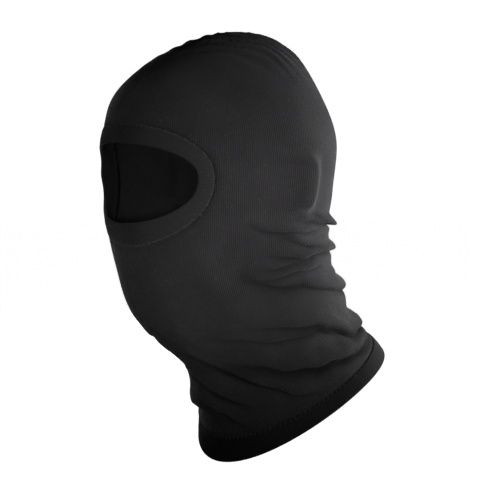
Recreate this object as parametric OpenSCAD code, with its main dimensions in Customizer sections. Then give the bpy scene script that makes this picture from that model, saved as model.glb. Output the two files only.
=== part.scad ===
// Knitted balaclava: one tube of fine rib knit closed by a seam over the crown, with a
// doubled rib band round the face opening and another round the neck, shown as worn.
// The wearer faces -Y, +Z is up, and the origin is midway between the ears.

/* [Hood] */
// Width across the ears
hood_w = 152; // [130:1:175]
// Depth from the brow to the back of the head
hood_d = 177; // [155:1:200]
// Height of the crown above the ear line
crown_h = 110; // [95:1:125]
// Depth of the hem's middle below the ear line
hem_drop = 165; // [140:1:185]
// Thickness of the rib knit
knit_t = 1.2; // [0.8:0.1:1.8]

/* [Face opening] */
// Half angle that the opening takes round the head
opening_angle = 47; // [38:1:54]
// Height of the opening above its middle
opening_up = 23.5; // [18:0.5:28]
// Depth of the opening below its middle
opening_down = 27.5; // [18:0.5:30]
// Height of the opening's middle on the tube, as a share of the hem-to-crown run
opening_at = 0.638; // [0.62:0.001:0.66]
// Squareness of the opening's outline, where 2 is an ellipse
opening_power = 2.3; // [2:0.1:3]

/* [Bands] */
// Width of the face band from its folded edge to its seam
face_band_w = 12.5; // [9:0.5:15]
// Width of the neck band from its folded edge to its seam
neck_band_w = 16; // [12:0.5:22]
// Thickness of a band, which is the knit folded double
band_t = 2.2; // [1.6:0.1:3]
// Width of the seam allowance turned inside
allowance_w = 5; // [4:0.5:7]

/* [Seams] */
// Diameter of the sewing thread
thread_d = 0.5; // [0.3:0.1:0.7]
// Distance between stitches
stitch_pitch = 3; // [2.5:0.5:4]

/* [Label] */
// Width of the care label
label_w = 26; // [18:1:35]
// Length of the folded care label below the hem seam
label_l = 15; // [10:1:16]

/* [Hidden] */

// Sections of the tube from the hem to the crown, at the nominal size:
// [run, height, forward, tilt, front depth, back depth, half width, narrowing at the front]
SECTIONS = [
    [0.00, -165, -66, 28, 76, 86, 65, 0.00],
    [0.07, -148, -61, 28, 70, 77, 63, 0.00],
    [0.16, -123, -53, 28, 71, 61, 60, 0.02],
    [0.24, -102, -41, 25, 70, 63, 62, 0.08],
    [0.31,  -82, -28, 21, 84, 61, 66, 0.16],
    [0.38,  -64, -15, 16, 92, 64, 70, 0.16],
    [0.49,  -34,  -3,  6, 89, 72, 74, 0.14],
    [0.60,   -4,   1,  0, 89, 81, 76, 0.12],
    [0.72,   32,   0,  0, 91, 84, 77, 0.10],
    [0.83,   68,  -3,  0, 87, 69, 67, 0.08],
    [0.92,   94,  -9,  0, 74, 51, 45, 0.04],
    [0.97,  105, -13,  0, 55, 36, 20, 0.02],
    [1.00,  110, -15,  0, 42, 29,  3, 0.00],
];
NOMINAL_W = 152;
NOMINAL_D = 177;
NOMINAL_CROWN = 110;
NOMINAL_DROP = 165;

// How far the crown's ends fall away from its top, and where that starts
CROWN_FALL = 0.0057;
CROWN_START = 0.72;
// How far the hem rides up over the shoulders, and where that ends
HEM_LIFT = 9;
HEM_LIFT_END = 0.24;

COLUMNS = 56;
ROWS = 32;
// The block of the grid that the face opening takes, in columns and rows each way
BLOCK_COLUMNS = 8;
BLOCK_ROWS = 4;
BLOCK_MIDDLE = 20;
// Where the grid is back to its plain columns and rows, in block sizes
BLOCK_REACH = 2;

// Run and angle over which the surface's slope is taken
RUN_STEP = 0.004;
ANGLE_STEP = 1;
// Length of the tube along its front for a whole run, at the opening and at the hem
FACE_MM_PER_RUN = 287;
HEM_MM_PER_RUN = 250;
// Angle round the head that a millimetre of face band takes at the temples
FACE_ANGLE_PER_MM = 0.61;
THREAD_FN = 16;
// Gap between two pieces of knit at a seam, and between a thread and the knit it lies on
SEW_GAP = 0.3;
LIE_GAP = 0.1;
// How far a seam's stitches reach over the band and over the hood
REACH_IN = 1.6;
REACH_OUT = 1;
// Share of the stitch pitch that thread covers, and the pitch of a band's joining stitches
STITCH_SHARE = 0.8;
JOIN_PITCH = 1.4;
// Lengths of the crown seam's stitched part and of the hem
CROWN_SEAM_MM = 90;
HEM_SEAM_MM = 430;
// Length of the hem seam's stitches, in stitch pitches
HEM_PITCH = 1.3;
// Angles between which the crown seam is stitched
CROWN_FROM = 15;
CROWN_TO = 165;
// Share by which the crown seam's allowance draws in at its lower edge
KEEL_DRAW = 0.03;
// Thickness of a band's turned-in allowance
FLANGE_T = 2;
// A band's fold: distances from it to its flanks and to its full height, and the flanks' fall
FLANK_IN = 0.3;
FOLD_IN = 1;
FOLD_FALL = 0.4;
// A band's outside near its seam: distance at which it falls, and how far
DIP_AT = 0.8;
DIP = 0.5;
// Distances from the seam between which a band's inside steps down to its allowance
STEP_NEAR = 1.5;
STEP_FAR = 2.2;
// Distance over the seam at which a looper thread turns back
LOOPER_TURN = 0.5;
// Distances of a band's joining stitches from its fold and from its seam's stitches
JOIN_START = 1.5;
JOIN_END = 1;
// Half lengths of the joining stitches, as a share of the opening's height and in degrees
FACE_JOIN = 0.05;
NECK_JOIN = 1;
// Columns and stitches over half of the label's width, rows along its length, how far its
// ends stop short of the allowance's edge, and the stitches' depth on the tape
LABEL_COLUMNS = 6;
LABEL_STITCHES = 4;
LABEL_ROWS = 3;
LABEL_SHORT = 1;
LABEL_STITCH_IN = 1.5;
// Steps of the label's half turn, in degrees
LABEL_TURN_STEP = 30;
// The crown needle thread lies this share of the allowance's width below the crown
CROWN_THREAD_AT = 0.25;
KNIT = [0.13, 0.13, 0.14];
THREAD = [0.24, 0.24, 0.26];
LABEL = [0.86, 0.86, 0.84];

seam_run = neck_band_w / HEM_MM_PER_RUN;
opening_size = [opening_angle, opening_up / FACE_MM_PER_RUN, opening_down / FACE_MM_PER_RUN];
seam_size = [
    opening_angle + face_band_w * FACE_ANGLE_PER_MM,
    (opening_up + face_band_w) / FACE_MM_PER_RUN,
    (opening_down + face_band_w) / FACE_MM_PER_RUN,
];

// Heights off the hood's surface of a band's faces and of its turned-in allowance's faces
BAND_TOP = 0.7;
BAND_LOW = BAND_TOP - band_t;
FLANGE_TOP = -knit_t - SEW_GAP;
FLANGE_LOW = FLANGE_TOP - FLANGE_T;
// Heights of the thread outside a band, outside the hood and inside the allowance
THREAD_ON_BAND = BAND_TOP + thread_d / 2 + LIE_GAP;
THREAD_ON_HOOD = thread_d / 2 + LIE_GAP;
THREAD_INSIDE = FLANGE_LOW - thread_d / 2 - LIE_GAP;

// ---------- curves ----------

function smooth(t) = let(c = min(max(t, 0), 1)) c * c * (3 - 2 * c);
function mix(a, b, t) = a + (b - a) * t;

// Slope of column k of the section table at row i
function slope(k, i) =
    let(a = max(i - 1, 0), b = min(i + 1, len(SECTIONS) - 1))
    (SECTIONS[b][k] - SECTIONS[a][k]) / (SECTIONS[b][0] - SECTIONS[a][0]);

// Cubic interpolation of column k of the section table
function section(k, s) =
    let(
        i = max([for (n = [0:len(SECTIONS) - 2]) if (n == 0 || s >= SECTIONS[n][0]) n]),
        h = SECTIONS[i + 1][0] - SECTIONS[i][0],
        t = (s - SECTIONS[i][0]) / h
    )
    SECTIONS[i][k] * (1 + 2 * t) * pow(1 - t, 2)
    + slope(k, i) * h * t * pow(1 - t, 2)
    + SECTIONS[i + 1][k] * t * t * (3 - 2 * t)
    + slope(k, i + 1) * h * t * t * (t - 1);

// Point of the hood's outer surface at run s and angle a from the front
function hood_point(s, a) =
    let(
        tilt = section(3, s),
        along = (cos(a) >= 0 ? section(4, s) : section(5, s)) * cos(a),
        across = max(section(6, s), 2) * sin(a) * (1 - section(7, s) * cos(a)),
        fall = pow(max(s - CROWN_START, 0) / (1 - CROWN_START), 2) * CROWN_FALL * along * along,
        lift = HEM_LIFT * pow(max(1 - s / HEM_LIFT_END, 0), 2) * pow(sin(a), 2),
        height = section(1, s) - along * sin(tilt) - fall + lift
    )
    [
        across * hood_w / NOMINAL_W,
        -(section(2, s) + along * cos(tilt)) * hood_d / NOMINAL_D,
        height * (height > 0 ? crown_h / NOMINAL_CROWN : hem_drop / NOMINAL_DROP),
    ];

function hood_normal(s, a) =
    let(
        up = hood_point(min(s + RUN_STEP, 1), a) - hood_point(min(s, 1 - RUN_STEP), a),
        round = hood_point(s, a + ANGLE_STEP) - hood_point(s, a - ANGLE_STEP),
        n = cross(round, up)
    )
    n / norm(n);

// Point at a distance d outside the hood's outer surface
function off_hood(s, a, d) = hood_point(s, a) + d * hood_normal(s, a);

// ---------- the grid round the face opening ----------

// Point of the outline at a place on the unit square, for half sizes [angle, up, down]
function outline(x, y, size) =
    let(
        u = x * sqrt(1 - y * y / 2),
        v = y * sqrt(1 - x * x / 2),
        k = pow(pow(abs(u), opening_power) + pow(abs(v), opening_power), -1 / opening_power)
    )
    [u * k * size[0], v * k * (v > 0 ? size[1] : size[2])];

function row_run(j) = mix(seam_run, 1, j / ROWS);

// [angle, run] of grid place (i, j): the block's edge lies on the face seam
function grid_place(i, j) =
    let(
        x = i / BLOCK_COLUMNS,
        y = (j - BLOCK_MIDDLE) / BLOCK_ROWS,
        r = max(abs(x), abs(y)),
        plain = [i * 360 / COLUMNS, row_run(j)]
    )
    r < 1 || r >= BLOCK_REACH ? plain
        : let(ring = outline(x / r, y / r, seam_size) * r)
        mix([ring[0], opening_at + ring[1]], plain, smooth((r - 1) / (BLOCK_REACH - 1)));

function in_block(i, j) =
    i >= -BLOCK_COLUMNS && i < BLOCK_COLUMNS
    && j >= BLOCK_MIDDLE - BLOCK_ROWS && j < BLOCK_MIDDLE + BLOCK_ROWS;

// The block's edge as places on the unit square, counter-clockwise as seen from the front
EDGE = concat(
    [for (k = [0:2 * BLOCK_ROWS - 1]) [1, -1 + k / BLOCK_ROWS]],
    [for (k = [0:2 * BLOCK_COLUMNS - 1]) [1 - k / BLOCK_COLUMNS, 1]],
    [for (k = [0:2 * BLOCK_ROWS - 1]) [-1, 1 - k / BLOCK_ROWS]],
    [for (k = [0:2 * BLOCK_COLUMNS - 1]) [-1 + k / BLOCK_COLUMNS, -1]]
);

// Point on the face band: e is a place on EDGE, t the distance from the folded edge
function face_point(e, t, d) =
    let(
        inner = outline(e[0], e[1], opening_size),
        outer = outline(e[0], e[1], seam_size),
        p = mix(inner, outer, t / face_band_w)
    )
    off_hood(opening_at + p[1], p[0], d);

// Point on the neck band: t is the distance up from its folded edge
function neck_point(a, t, d) = off_hood(seam_run * t / neck_band_w, a, d);

// ---------- solids ----------

// A closed ring swept through sections, each a list of the same number of points
module ring_sweep(sections) {
    n = len(sections);
    m = len(sections[0]);
    polyhedron(
        points = [for (s = sections) each s],
        faces = [
            for (i = [0:n - 1], j = [0:m - 1])
                let(i2 = (i + 1) % n, j2 = (j + 1) % m)
                each [
                    [i * m + j, i * m + j2, i2 * m + j2],
                    [i * m + j, i2 * m + j2, i2 * m + j],
                ]
        ]
    );
}

// A closed solid between two grids of points that have the same rows and columns
module slab(front, back) {
    rows = len(front);
    columns = len(front[0]);
    function at(side, i, j) = (side * rows + i) * columns + j;
    function quad(a, b, c, d) = [[a, b, c], [a, c, d]];
    polyhedron(
        points = [for (grid = [front, back], row = grid) each row],
        faces = concat(
            [for (i = [0:rows - 2], j = [0:columns - 2]) each concat(
                quad(at(0, i, j), at(0, i, j + 1), at(0, i + 1, j + 1), at(0, i + 1, j)),
                quad(at(1, i, j), at(1, i + 1, j), at(1, i + 1, j + 1), at(1, i, j + 1))
            )],
            [for (i = [0:rows - 2]) each concat(
                quad(at(0, i, 0), at(0, i + 1, 0), at(1, i + 1, 0), at(1, i, 0)),
                let(j = columns - 1)
                quad(at(0, i + 1, j), at(0, i, j), at(1, i, j), at(1, i + 1, j))
            )],
            [for (j = [0:columns - 2]) each concat(
                quad(at(0, 0, j + 1), at(0, 0, j), at(1, 0, j), at(1, 0, j + 1)),
                let(i = rows - 1)
                quad(at(0, i, j), at(0, i, j + 1), at(1, i, j + 1), at(1, i, j))
            )]
        )
    );
}

// One stitch: a straight length of thread from p to q
module stitch(p, q) {
    v = q - p;
    translate(p)
        rotate([0, acos(v[2] / norm(v)), atan2(v[1], v[0])])
            cylinder(h = norm(v), d = thread_d, $fn = THREAD_FN);
}

// The knitted tube with the seam allowance of its crown seam hanging inside
module hood_shell() {
    half = COLUMNS / 2;
    rings = ROWS + 1;
    function index(side, i, j) =
        side * rings * COLUMNS + j * COLUMNS + (i + COLUMNS) % COLUMNS;
    function keel(i) = 2 * rings * COLUMNS + (i + COLUMNS) % COLUMNS;
    function quad(a, b, c, d) = [[a, b, c], [a, c, d]];
    walls = [
        for (side = [0, 1], j = [0:rings - 1], n = [0:COLUMNS - 1])
            let(i = n > half ? n - COLUMNS : n, p = grid_place(i, j))
            off_hood(p[1], p[0], -knit_t * side)
    ];
    allowance = [
        for (n = [0:COLUMNS - 1])
            let(p = walls[index(1, n, ROWS)])
            [p[0], mix(p[1], hood_point(1, 90)[1], KEEL_DRAW), p[2] - allowance_w]
    ];
    faces = concat(
        [for (j = [0:ROWS - 1], i = [-half:half - 1]) if (!in_block(i, j)) each concat(
            quad(index(0, i, j), index(0, i, j + 1), index(0, i + 1, j + 1), index(0, i + 1, j)),
            quad(index(1, i, j), index(1, i + 1, j), index(1, i + 1, j + 1), index(1, i, j + 1))
        )],
        // the raw edge at the neck band's seam
        [for (i = [-half:half - 1])
            each quad(index(0, i, 0), index(0, i + 1, 0), index(1, i + 1, 0), index(1, i, 0))],
        // the raw edge at the face band's seam
        [for (i = [-BLOCK_COLUMNS:BLOCK_COLUMNS - 1]) each concat(
            let(j = BLOCK_MIDDLE + BLOCK_ROWS)
            quad(index(0, i, j), index(0, i + 1, j), index(1, i + 1, j), index(1, i, j)),
            let(j = BLOCK_MIDDLE - BLOCK_ROWS)
            quad(index(0, i, j), index(1, i, j), index(1, i + 1, j), index(0, i + 1, j))
        )],
        [for (j = [BLOCK_MIDDLE - BLOCK_ROWS:BLOCK_MIDDLE + BLOCK_ROWS - 1]) each concat(
            let(i = BLOCK_COLUMNS)
            quad(index(0, i, j + 1), index(0, i, j), index(1, i, j), index(1, i, j + 1)),
            let(i = -BLOCK_COLUMNS)
            quad(index(0, i, j), index(0, i, j + 1), index(1, i, j + 1), index(1, i, j))
        )],
        // the crown seam and its hanging allowance
        [for (i = [0:half - 1]) each concat(
            i == 0 ? [[index(0, 0, ROWS), index(0, -1, ROWS), index(0, 1, ROWS)]]
                : i == half - 1
                ? [[index(0, i, ROWS), index(0, -i, ROWS), index(0, half, ROWS)]]
                : quad(index(0, i, ROWS), index(0, -i, ROWS), index(0, -i - 1, ROWS),
                    index(0, i + 1, ROWS)),
            i == 0 ? [[keel(0), keel(1), keel(-1)]]
                : i == half - 1 ? [[keel(i), keel(half), keel(-i)]]
                : quad(keel(i), keel(i + 1), keel(-i - 1), keel(-i))
        )],
        [for (i = [-half:half - 1])
            each quad(index(1, i, ROWS), index(1, i + 1, ROWS), keel(i + 1), keel(i))]
    );
    color(KNIT) polyhedron(points = concat(walls, allowance), faces = faces);
}

// Section of a doubled band as [distance from the fold, height off the hood's surface]:
// a rounded fold at 0, the seam at w and, past it, the allowance under the hood's knit
function band_profile(w) =
    [
        [0, (BAND_TOP + BAND_LOW) / 2], [FLANK_IN, BAND_TOP - FOLD_FALL], [FOLD_IN, BAND_TOP],
        [w - DIP_AT, BAND_TOP], [w - SEW_GAP / 2, BAND_TOP - DIP],
        [w - SEW_GAP / 2, FLANGE_TOP], [w + allowance_w, FLANGE_TOP],
        [w + allowance_w, FLANGE_LOW], [w - STEP_NEAR, FLANGE_LOW],
        [w - STEP_FAR, BAND_LOW], [FOLD_IN, BAND_LOW], [FLANK_IN, BAND_LOW + FOLD_FALL],
    ];

module face_band() {
    color(KNIT) ring_sweep([
        for (e = EDGE) [for (p = band_profile(face_band_w)) face_point(e, p[0], p[1])]
    ]);
}

module neck_band() {
    color(KNIT) ring_sweep([
        for (n = [0:COLUMNS - 1])
            [for (p = band_profile(neck_band_w)) neck_point(-n * 360 / COLUMNS, p[0], p[1])]
    ]);
}

// Angles round the crown seam's near side, spaced by the stitch pitch
CROWN_STITCHES = round(CROWN_SEAM_MM / stitch_pitch);
CROWN_ANGLES = [for (n = [0:CROWN_STITCHES]) mix(CROWN_FROM, CROWN_TO, n / CROWN_STITCHES)];

// The crown seam's allowance at an angle: side is its half thickness, drop the depth below
function crown_point(a, side, drop) =
    let(p = off_hood(1, a, -knit_t))
    [side, p[1], p[2] - drop];

module crown_needle_thread() {
    side = hood_point(1, 90)[0] + THREAD_ON_HOOD;
    drop = allowance_w * CROWN_THREAD_AT;
    color(THREAD) for (n = [0:len(CROWN_ANGLES) - 2])
        let(
            p = crown_point(CROWN_ANGLES[n], side, drop),
            q = crown_point(CROWN_ANGLES[n + 1], side, drop)
        )
        stitch(p, mix(p, q, STITCH_SHARE));
}

module crown_looper_thread() {
    side = hood_point(1, 90)[0] * STITCH_SHARE;
    drop = allowance_w + THREAD_ON_BAND;
    color(THREAD) for (n = [0:len(CROWN_ANGLES) - 2])
        stitch(
            crown_point(CROWN_ANGLES[n], side, drop),
            crown_point(CROWN_ANGLES[n + 1], -side, drop)
        );
}

// Places on EDGE for the face seam's stitches
FACE_STITCHES = [
    for (n = [0:len(EDGE) - 1], h = [0, 0.5]) mix(EDGE[n], EDGE[(n + 1) % len(EDGE)], h)
];

module face_needle_thread() {
    color(THREAD) for (e = FACE_STITCHES)
        stitch(
            face_point(e, face_band_w - REACH_IN, THREAD_ON_BAND),
            face_point(e, face_band_w + REACH_OUT, THREAD_ON_HOOD)
        );
}

module face_looper_thread() {
    count = len(FACE_STITCHES);
    color(THREAD) for (n = [0:count - 1])
        stitch(
            face_point(FACE_STITCHES[n], face_band_w + allowance_w, THREAD_INSIDE),
            face_point(FACE_STITCHES[(n + 1) % count], face_band_w - LOOPER_TURN, THREAD_INSIDE)
        );
}

// Angles round the hem for the hem seam's stitches
HEM_COUNT = round(HEM_SEAM_MM / stitch_pitch / HEM_PITCH);
HEM_ANGLES = [for (n = [0:HEM_COUNT - 1]) n * 360 / HEM_COUNT];

module hem_needle_thread() {
    color(THREAD) for (a = HEM_ANGLES)
        stitch(
            neck_point(a, neck_band_w - REACH_IN, THREAD_ON_BAND),
            neck_point(a, neck_band_w + REACH_OUT, THREAD_ON_HOOD)
        );
}

module hem_looper_thread() {
    color(THREAD) for (a = HEM_ANGLES)
        stitch(
            neck_point(a, neck_band_w + allowance_w, THREAD_INSIDE),
            neck_point(a + 360 / HEM_COUNT, neck_band_w - LOOPER_TURN, THREAD_INSIDE)
        );
}

// Stitches that close the face band into a loop, at the wearer's right
module face_band_join_thread() {
    color(THREAD) for (t = [JOIN_START:JOIN_PITCH:face_band_w - REACH_IN - JOIN_END])
        stitch(
            face_point([-1, -FACE_JOIN], t, THREAD_ON_BAND),
            face_point([-1, FACE_JOIN], t, THREAD_ON_BAND)
        );
}

// Stitches that close the neck band into a loop, at the back
module neck_band_join_thread() {
    color(THREAD) for (t = [JOIN_START:JOIN_PITCH:neck_band_w - REACH_IN - JOIN_END])
        stitch(
            neck_point(180 - NECK_JOIN, t, THREAD_ON_BAND),
            neck_point(180 + NECK_JOIN, t, THREAD_ON_BAND)
        );
}

// The care label's tape, its half turn's radius, and the angle that half its width takes
TAPE_T = 0.3;
TAPE_TURN = 0.4;
TAPE_MIDDLE = THREAD_INSIDE - thread_d / 2 - LIE_GAP - TAPE_TURN - TAPE_T / 2;
LABEL_ANGLE = asin(label_w / 2 / hood_point(seam_run, 90)[0]);
// The tape's middle line from one end, round the half turn at the bottom, to the other,
// as [distance from the neck band's fold, height, direction of the tape's outer side]
LABEL_TOP = neck_band_w + allowance_w - LABEL_SHORT;
LABEL_PATH = concat(
    [for (t = [0:LABEL_ROWS]) [LABEL_TOP - t * label_l / LABEL_ROWS, TAPE_TURN, 90]],
    [for (a = [90 - LABEL_TURN_STEP:-LABEL_TURN_STEP:LABEL_TURN_STEP - 90])
        [LABEL_TOP - label_l - TAPE_TURN * cos(a), TAPE_TURN * sin(a), a]],
    [for (t = [LABEL_ROWS:-1:0]) [LABEL_TOP - t * label_l / LABEL_ROWS, -TAPE_TURN, -90]]
);

// A woven tape folded in half across its length, with both ends caught in the hem seam
module care_label() {
    function layer(d) = [
        for (p = LABEL_PATH) [
            for (n = [-LABEL_COLUMNS:LABEL_COLUMNS])
                neck_point(
                    180 + n * LABEL_ANGLE / LABEL_COLUMNS,
                    p[0] - d * cos(p[2]),
                    TAPE_MIDDLE + p[1] + d * sin(p[2])
                )
        ]
    ];
    color(LABEL) slab(layer(TAPE_T / 2), layer(-TAPE_T / 2));
}

module label_thread() {
    step = LABEL_ANGLE / (LABEL_STITCHES + 1);
    height = TAPE_MIDDLE - TAPE_TURN - TAPE_T / 2 - THREAD_ON_HOOD;
    color(THREAD) for (n = [-LABEL_STITCHES:LABEL_STITCHES - 1])
        stitch(
            neck_point(180 + n * step, LABEL_TOP - LABEL_STITCH_IN, height),
            neck_point(180 + (n + STITCH_SHARE) * step, LABEL_TOP - LABEL_STITCH_IN, height)
        );
}

hood_shell();
face_band();
neck_band();
crown_needle_thread();
crown_looper_thread();
face_needle_thread();
face_looper_thread();
hem_needle_thread();
hem_looper_thread();
face_band_join_thread();
neck_band_join_thread();
care_label();
label_thread();
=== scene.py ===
import math

import bpy
import numpy as np
from mathutils import Matrix, Vector


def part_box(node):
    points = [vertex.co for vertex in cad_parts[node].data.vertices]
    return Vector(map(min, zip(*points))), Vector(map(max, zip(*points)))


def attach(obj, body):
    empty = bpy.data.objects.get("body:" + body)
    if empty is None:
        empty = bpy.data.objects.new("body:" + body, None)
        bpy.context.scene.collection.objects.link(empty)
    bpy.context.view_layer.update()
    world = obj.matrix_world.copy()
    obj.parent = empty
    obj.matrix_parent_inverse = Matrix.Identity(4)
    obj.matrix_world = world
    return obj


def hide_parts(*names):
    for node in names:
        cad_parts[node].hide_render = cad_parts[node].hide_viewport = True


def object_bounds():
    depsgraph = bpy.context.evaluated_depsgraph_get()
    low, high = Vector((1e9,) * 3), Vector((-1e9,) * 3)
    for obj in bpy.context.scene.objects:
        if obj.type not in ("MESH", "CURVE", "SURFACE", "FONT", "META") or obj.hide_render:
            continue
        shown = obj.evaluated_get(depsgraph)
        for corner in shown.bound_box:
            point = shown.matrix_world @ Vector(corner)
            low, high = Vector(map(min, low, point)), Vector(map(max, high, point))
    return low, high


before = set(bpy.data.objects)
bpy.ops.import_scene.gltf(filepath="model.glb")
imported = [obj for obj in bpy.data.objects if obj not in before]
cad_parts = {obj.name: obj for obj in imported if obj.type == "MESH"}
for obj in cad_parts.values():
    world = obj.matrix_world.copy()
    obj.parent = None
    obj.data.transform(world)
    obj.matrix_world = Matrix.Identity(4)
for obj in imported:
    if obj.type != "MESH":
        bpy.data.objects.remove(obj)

cad_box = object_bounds()

# ---------------------------------------------------------------- the hood's shape
# The same tube as the CAD hood: sections from the hem to the crown, in millimetres.
# run, height, forward, tilt in degrees, front depth, back depth, half width, narrowing
SECTIONS = np.array([
    (0.00, -165, -66, 28, 76, 86, 65, 0.00),
    (0.07, -148, -61, 28, 70, 77, 63, 0.00),
    (0.16, -123, -53, 28, 71, 61, 60, 0.02),
    (0.24, -102, -41, 25, 70, 63, 62, 0.08),
    (0.31, -82, -28, 21, 84, 61, 66, 0.16),
    (0.38, -64, -15, 16, 92, 64, 70, 0.16),
    (0.49, -34, -3, 6, 89, 72, 74, 0.14),
    (0.60, -4, 1, 0, 89, 81, 76, 0.12),
    (0.72, 32, 0, 0, 91, 84, 77, 0.10),
    (0.83, 68, -3, 0, 87, 69, 67, 0.08),
    (0.92, 94, -9, 0, 74, 51, 45, 0.04),
    (0.97, 105, -13, 0, 55, 36, 20, 0.02),
    (1.00, 110, -15, 0, 42, 29, 3, 0.00),
])
CROWN_START = 0.72      # run where the crown begins to fall away to the front and the back
CROWN_FALL = 0.0057     # mm of that fall for each square mm from the middle
HEM_LIFT = 9            # mm that the hem is higher at the sides
HEM_LIFT_END = 0.24     # run where that lift ends
SEAM_RUN = 0.064        # run of the neck band's seam

FACE_BAND_W = 12.5
NECK_BAND_W = 16.0
ALLOWANCE_W = 5.0       # seam allowance of both bands

# The face opening and its seam are super-ellipses: half size in degrees, then the runs from
# the middle up and down.
OPENING_AT = 0.638      # run of its middle
OPENING_POWER = 2.3
OPENING_ANGLE, OPENING_UP, OPENING_DOWN = 47.0, 23.5, 27.5
FACE_RUN_MM = 287       # length of a whole run over the face
DEGREES_PER_MM = 0.61   # at the opening's corners
OPENING = (OPENING_ANGLE, OPENING_UP / FACE_RUN_MM, OPENING_DOWN / FACE_RUN_MM)
SEAM = (
    OPENING_ANGLE + DEGREES_PER_MM * FACE_BAND_W,
    (OPENING_UP + FACE_BAND_W) / FACE_RUN_MM,
    (OPENING_DOWN + FACE_BAND_W) / FACE_RUN_MM,
)
SEAM_MEAN_MM = 42       # mean half size of the seam's outline


def smooth(t):
    """A soft step from 0 at t = 0 to 1 at t = 1."""
    t = np.clip(t, 0, 1)
    return t * t * (3 - 2 * t)


def bump(x, middle, half):
    """A soft hump of 1 at the middle and 0 from half away."""
    return smooth(1 - np.abs(x - middle) / half)


def bell(x, w):
    """A bell curve of 1 at x = 0 that has fallen to 37 per cent at w."""
    return np.exp(-(x / w) ** 2)


def unit_length(v):
    return v / np.linalg.norm(v, axis=-1, keepdims=True)


def section(k, s):
    """Cubic interpolation of column k of the section table, as the CAD does it."""
    xs, ys = SECTIONS[:, 0], SECTIONS[:, k]
    slopes = np.empty(len(xs))
    slopes[1:-1] = (ys[2:] - ys[:-2]) / (xs[2:] - xs[:-2])
    slopes[0] = (ys[1] - ys[0]) / (xs[1] - xs[0])
    slopes[-1] = (ys[-1] - ys[-2]) / (xs[-1] - xs[-2])
    i = np.clip(np.searchsorted(xs, s, side="right") - 1, 0, len(xs) - 2)
    h = xs[i + 1] - xs[i]
    t = (s - xs[i]) / h
    return (
        ys[i] * (1 + 2 * t) * (1 - t) ** 2 + slopes[i] * h * t * (1 - t) ** 2
        + ys[i + 1] * t * t * (3 - 2 * t) + slopes[i + 1] * h * t * t * (t - 1)
    )


def hood_mm(s, a):
    """Points of the hood's outer surface at run s and angle a in degrees from the front, in mm."""
    s, a = np.broadcast_arrays(np.asarray(s, float), np.asarray(a, float))
    c, sn = np.cos(np.radians(a)), np.sin(np.radians(a))
    tilt = np.radians(section(3, s))
    along = np.where(c >= 0, section(4, s), section(5, s)) * c
    across = np.maximum(section(6, s), 2) * sn * (1 - section(7, s) * c)
    fall = (np.clip(s - CROWN_START, 0, 1) / (1 - CROWN_START)) ** 2 * CROWN_FALL * along ** 2
    lift = HEM_LIFT * np.clip(1 - s / HEM_LIFT_END, 0, 1) ** 2 * sn ** 2
    return np.stack([
        across,
        -(section(2, s) + along * np.cos(tilt)),
        section(1, s) - along * np.sin(tilt) - fall + lift,
    ], -1)


def hood_normal(s, a):
    """Outward unit normals of the hood's plain surface."""
    ds, da = 0.004, 1.0
    up = hood_mm(np.minimum(s + ds, 1), a) - hood_mm(np.minimum(s, 1 - ds), a)
    around = hood_mm(s, a + da) - hood_mm(s, a - da)
    return unit_length(np.cross(around, up))


# The frame's own hood gives the length of a millimetre.
probe = hood_mm(*np.meshgrid(np.linspace(SEAM_RUN, 1, 60), np.arange(0, 360, 4)))
cad_low, cad_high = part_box("hood_shell")
MM = (cad_high[2] - cad_low[2]) / (probe[..., 2].max() - probe[..., 2].min())


def outline(x, y, size):
    """A place on the unit square's edge, moved to the super-ellipse of half sizes size."""
    u, v = x * np.sqrt(1 - y * y / 2), y * np.sqrt(1 - x * x / 2)
    power_sum = np.abs(u) ** OPENING_POWER + np.abs(v) ** OPENING_POWER
    k = np.maximum(power_sum, 1e-9) ** (-1 / OPENING_POWER)
    return u * k * size[0], v * k * np.where(v > 0, size[1], size[2])


# ---------------------------------------------------------------- lengths along the knit
# Tables over runs and angles, which give the knit's own coordinates for its ribs and loops.
TABLE_S = np.linspace(0, 1, 241)
TABLE_A = np.linspace(-180, 180, 721)
table = hood_mm(*np.meshgrid(TABLE_S, TABLE_A, indexing="ij"))
around = np.cumsum(np.linalg.norm(np.diff(table, axis=1), axis=2), axis=1)
around = np.concatenate([np.zeros((len(TABLE_S), 1)), around], 1)
AROUND = around / around[:, -1:] - 0.5
along = np.cumsum(np.linalg.norm(np.diff(table, axis=0), axis=2), axis=0)
ALONG = np.concatenate([np.zeros((1, len(TABLE_A))), along], 0)
WALES = 336       # ribs round the tube
COURSE_MM = 1.15  # height of a row of loops


def look_up(values, s, a):
    """Value of a table over (TABLE_S, TABLE_A) at runs s and angles a."""
    a = (np.asarray(a, float) + 180) % 360 - 180
    x = np.clip(s, 0, 1) * (len(TABLE_S) - 1)
    y = (a + 180) / 360 * (len(TABLE_A) - 1)
    i, j = np.minimum(x.astype(int), len(TABLE_S) - 2), np.minimum(y.astype(int), len(TABLE_A) - 2)
    x, y = x - i, y - j
    return (
        values[i, j] * (1 - x) * (1 - y) + values[i + 1, j] * x * (1 - y)
        + values[i, j + 1] * (1 - x) * y + values[i + 1, j + 1] * x * y
    )


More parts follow.
